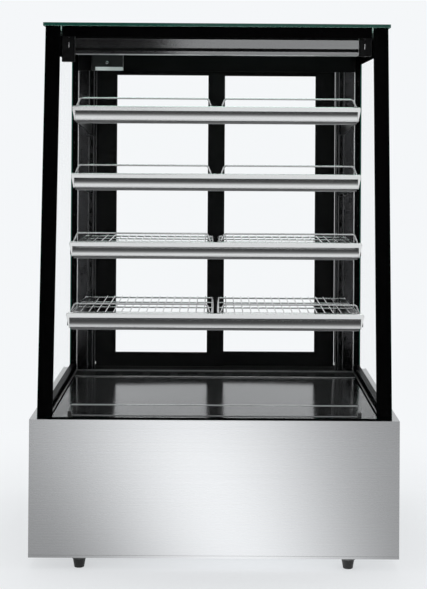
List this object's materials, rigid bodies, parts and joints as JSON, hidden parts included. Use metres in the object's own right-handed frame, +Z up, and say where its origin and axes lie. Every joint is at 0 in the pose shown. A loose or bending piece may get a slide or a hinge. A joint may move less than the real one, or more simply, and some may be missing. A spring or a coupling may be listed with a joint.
{
  "type": "refrigerated display case",
  "caption": "Free-standing refrigerated display case: brushed steel base, leaning front glass, lit wire shelves on brackets and sliding rear doors.",
  "frame": {"origin": "on the floor, in the middle of the base's outline", "axes": "+X to the customer's right, +Y to the service side with the doors, +Z up"},
  "size_m": [0.9, 0.72, 1.336],
  "materials": {
    "galvanised_steel": "satin",
    "black_rubber": "matt",
    "brushed_steel": "brushed",
    "side_steel": "brushed",
    "rear_steel": "brushed",
    "deck_steel": "brushed",
    "foam_liner": "matt",
    "black_grille": "satin",
    "clear_acrylic": "polished",
    "clear_glass": "polished",
    "side_glass": "polished",
    "top_glass": "polished",
    "door_glass": "polished",
    "black_print": "gloss",
    "side_print": "gloss",
    "black_frame": "satin",
    "canopy_steel": "brushed",
    "frosted_lens": "frosted",
    "dark_box": "satin",
    "post_gloss": "gloss",
    "header_black": "satin",
    "track_aluminium": "anodised",
    "bracket_steel": "satin",
    "lamp_aluminium": "anodised",
    "lead_black": "satin",
    "compressor_black": "gloss",
    "condenser_fins": "satin",
    "evaporator_fins": "satin",
    "shroud_steel": "satin",
    "fan_plate_steel": "satin",
    "fan_aluminium": "satin",
    "fan_black": "matt",
    "copper": "satin",
    "tray_plastic": "matt",
    "electric_plastic": "matt",
    "control_plastic": "satin",
    "controller_plastic": "gloss",
    "rocker_plastic": "gloss",
    "button_plastic": "matt",
    "door_black": "anodised",
    "pull_plastic": "satin",
    "trim_steel": "brushed",
    "chrome_wire": "polished"
  },
  "bodies": {
    "case": {"air_deflector": "clear_acrylic", "air_grille": "black_grille", "base_frame": "galvanised_steel", "base_pan": "galvanised_steel", "canopy_lamp_diffuser": "frosted_lens", "canopy_lamp_housing": "canopy_steel", "compressor": "compressor_black", "condensate_tray": "tray_plastic", "condenser_coil": "condenser_fins", "condenser_shroud": "shroud_steel", "control_panel": "control_plastic", "controller": "controller_plastic", "deck_pan": "deck_steel", "door_tracks": "track_aluminium", "electric_box": "electric_plastic", "evaporator_coil": "evaporator_fins", "evaporator_fan_plate": "fan_plate_steel", "feet": "black_rubber", "front_glass": "clear_glass", "front_glass_border": "black_print", "front_panel": "brushed_steel", "insulated_well": "foam_liner", "junction_box": "dark_box", "lamp_leads": "lead_black", "rear_duct_cover": "black_grille", "rear_header": "header_black", "rear_posts": "post_gloss", "refrigerant_pipes": "copper", "service_panel": "rear_steel", "shelf_1_rack": "chrome_wire", "shelf_1_trim": "trim_steel", "shelf_2_rack": "chrome_wire", "shelf_2_trim": "trim_steel", "shelf_3_rack": "chrome_wire", "shelf_3_trim": "trim_steel", "shelf_4_rack": "chrome_wire", "shelf_4_trim": "trim_steel", "shelf_brackets": "bracket_steel", "shelf_lamps": "lamp_aluminium", "side_glass_borders": "side_print", "side_glass_left": "side_glass", "side_glass_right": "side_glass", "side_panel_left": "side_steel", "side_panel_right": "side_steel", "top_frame": "black_frame", "top_glass": "top_glass"},
    "door_left": {"door_left_frame": "door_black", "door_left_glass": "door_glass", "door_left_pull": "pull_plastic"},
    "door_right": {"door_right_frame": "door_black", "door_right_glass": "door_glass", "door_right_pull": "pull_plastic"},
    "condenser_fan_wheel": {"condenser_fan": "fan_aluminium"},
    "evaporator_fan_wheel_left": {"evaporator_fan_left": "fan_black"},
    "evaporator_fan_wheel_right": {"evaporator_fan_right": "fan_black"},
    "power_rocker": {"power_switch": "rocker_plastic"},
    "light_rocker": {"light_switch": "rocker_plastic"},
    "set_key": {"button_set": "button_plastic"},
    "up_key": {"button_up": "button_plastic"},
    "down_key": {"button_down": "button_plastic"}
  },
  "joints": [
    {"name": "door_left_slide", "type": "slide", "parent": "case", "child": "door_left", "axis": [1, 0, 0], "range_m": [0, 0.2985]},
    {"name": "door_right_slide", "type": "slide", "parent": "case", "child": "door_right", "axis": [-1, 0, 0], "range_m": [0, 0.2985]},
    {"name": "condenser_fan_spin", "type": "hinge", "parent": "case", "child": "condenser_fan_wheel", "pos_m": [-0.19, 0.2305, 0.107], "axis": [0, 1, 0], "continuous": true},
    {"name": "evaporator_fan_left_spin", "type": "hinge", "parent": "case", "child": "evaporator_fan_wheel_left", "pos_m": [-0.19, -0.055, 0.29725], "axis": [0, 1, 0], "continuous": true},
    {"name": "evaporator_fan_right_spin", "type": "hinge", "parent": "case", "child": "evaporator_fan_wheel_right", "pos_m": [0.19, -0.055, 0.29725], "axis": [0, 1, 0], "continuous": true},
    {"name": "power_switch_rock", "type": "hinge", "parent": "case", "child": "power_rocker", "pos_m": [0.33, 0.35, 0.29], "axis": [1, 0, 0], "range_deg": [-16, 0]},
    {"name": "light_switch_rock", "type": "hinge", "parent": "case", "child": "light_rocker", "pos_m": [0.36, 0.35, 0.29], "axis": [1, 0, 0], "range_deg": [-16, 0]},
    {"name": "set_key_press", "type": "slide", "parent": "case", "child": "set_key", "axis": [0, -1, 0], "range_m": [0, 0.0012], "stiffness_N_per_m": 300, "springref_m": -0.002},
    {"name": "up_key_press", "type": "slide", "parent": "case", "child": "up_key", "axis": [0, -1, 0], "range_m": [0, 0.0012], "stiffness_N_per_m": 300, "springref_m": -0.002},
    {"name": "down_key_press", "type": "slide", "parent": "case", "child": "down_key", "axis": [0, -1, 0], "range_m": [0, 0.0012], "stiffness_N_per_m": 300, "springref_m": -0.002}
  ]
}
